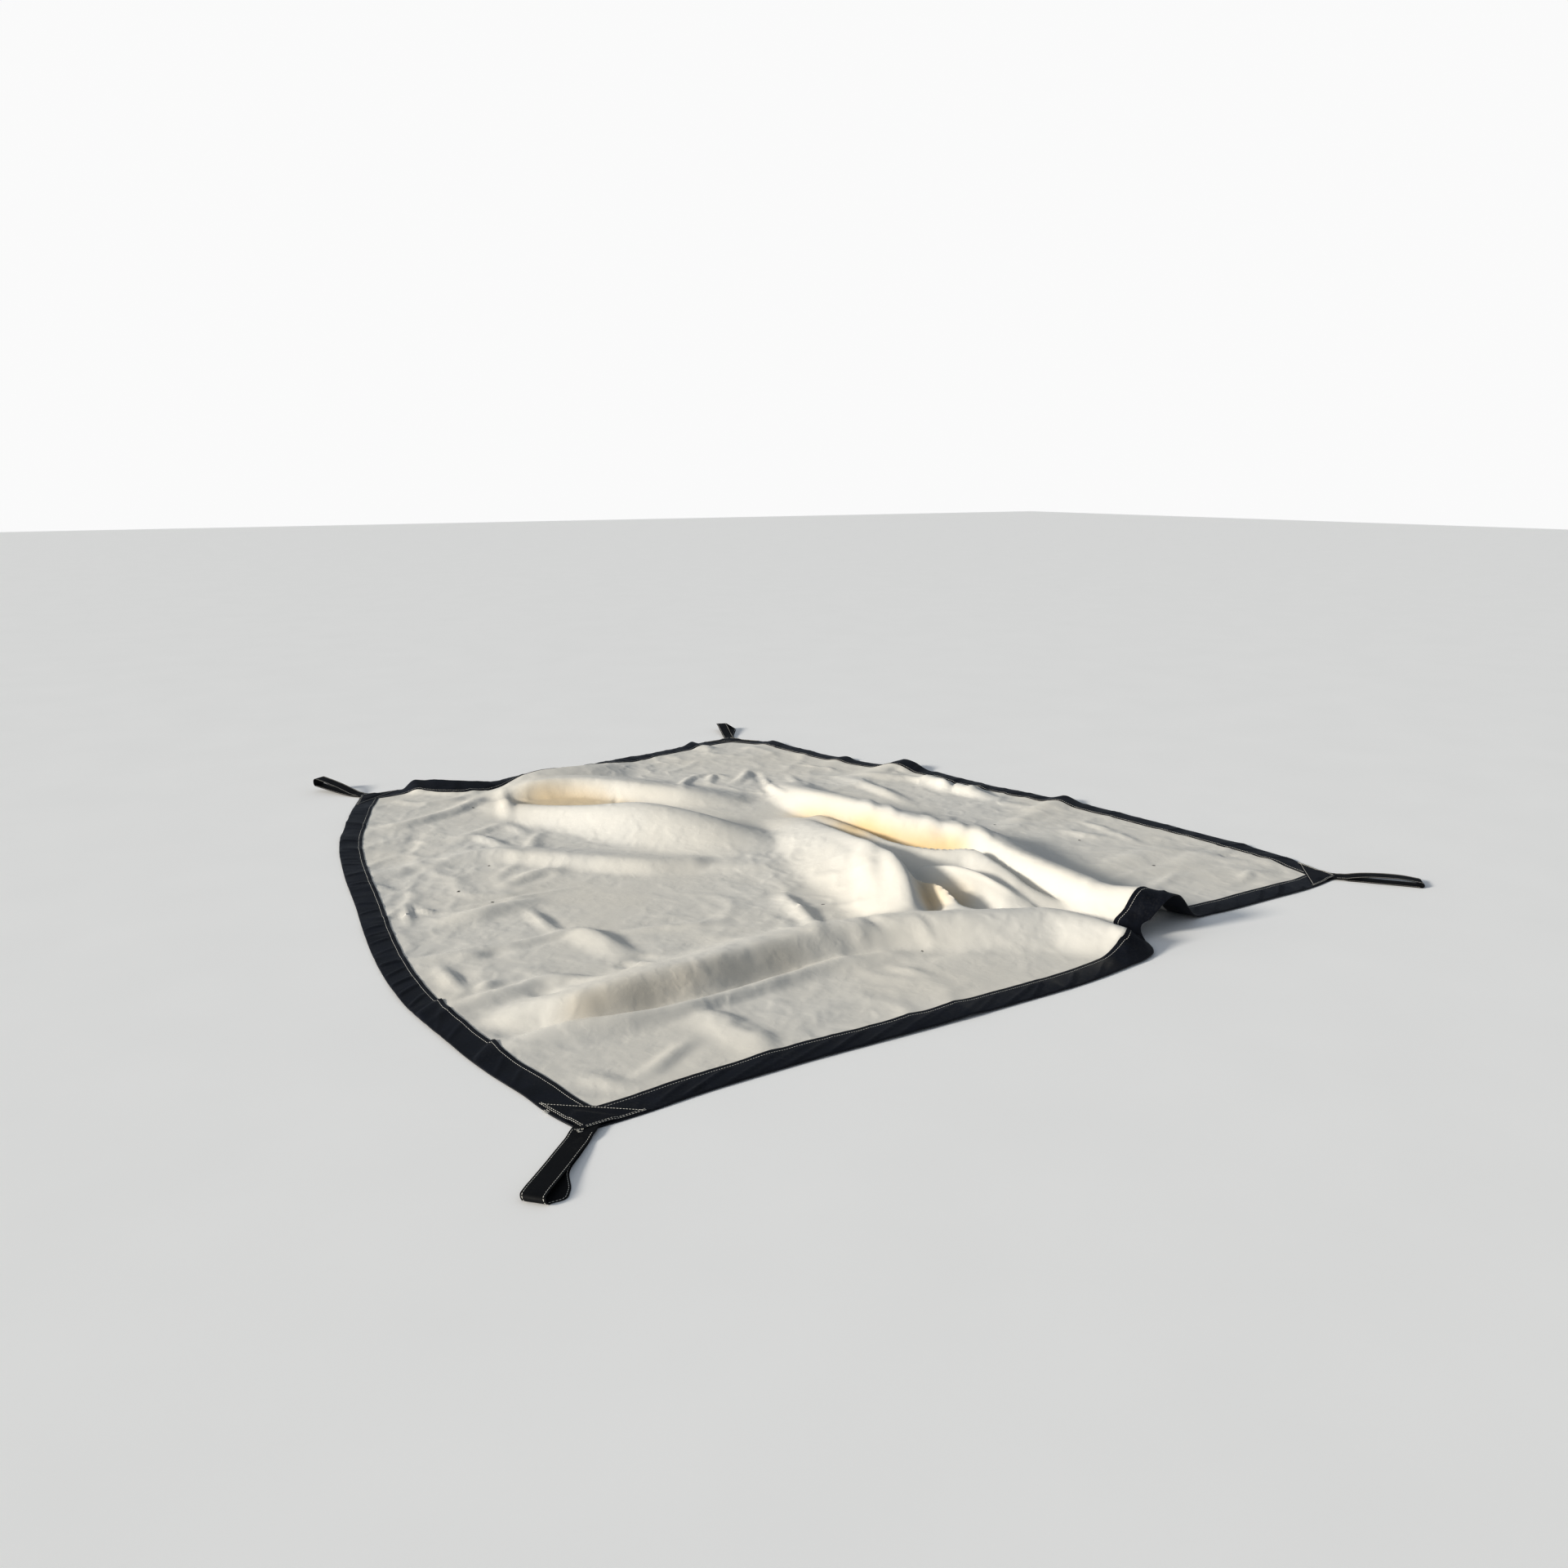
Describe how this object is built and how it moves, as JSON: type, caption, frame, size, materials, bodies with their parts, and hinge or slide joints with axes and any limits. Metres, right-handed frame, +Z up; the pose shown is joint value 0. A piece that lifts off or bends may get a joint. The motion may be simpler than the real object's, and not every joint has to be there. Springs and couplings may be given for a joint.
{
  "type": "fire containment blanket",
  "caption": "Fire containment blanket of coated cloth laid out on the ground in loose folds, with black tape bound over its edges, corner patches and a strap loop at each corner.",
  "frame": {"origin": "on the ground under the middle of the blanket with its loops", "axes": "+Z up from the ground, +X to the right along the front edge, +Y from the front edge to the back edge"},
  "size_m": [3.0062, 3.336, 0.1155],
  "materials": {
    "coated_cloth": "satin coated",
    "black_tape": "matte woven",
    "black_strap": "matte woven"
  },
  "bodies": {
    "root": {"cloth": "coated_cloth", "binding_front": "black_tape", "binding_right": "black_tape", "binding_back": "black_tape", "binding_left": "black_tape", "patch_front": "black_tape", "patch_right": "black_tape", "patch_back": "black_tape", "patch_left": "black_tape", "loop_front": "black_strap", "loop_right": "black_strap", "loop_back": "black_strap", "loop_left": "black_strap"}
  },
  "joints": []
}
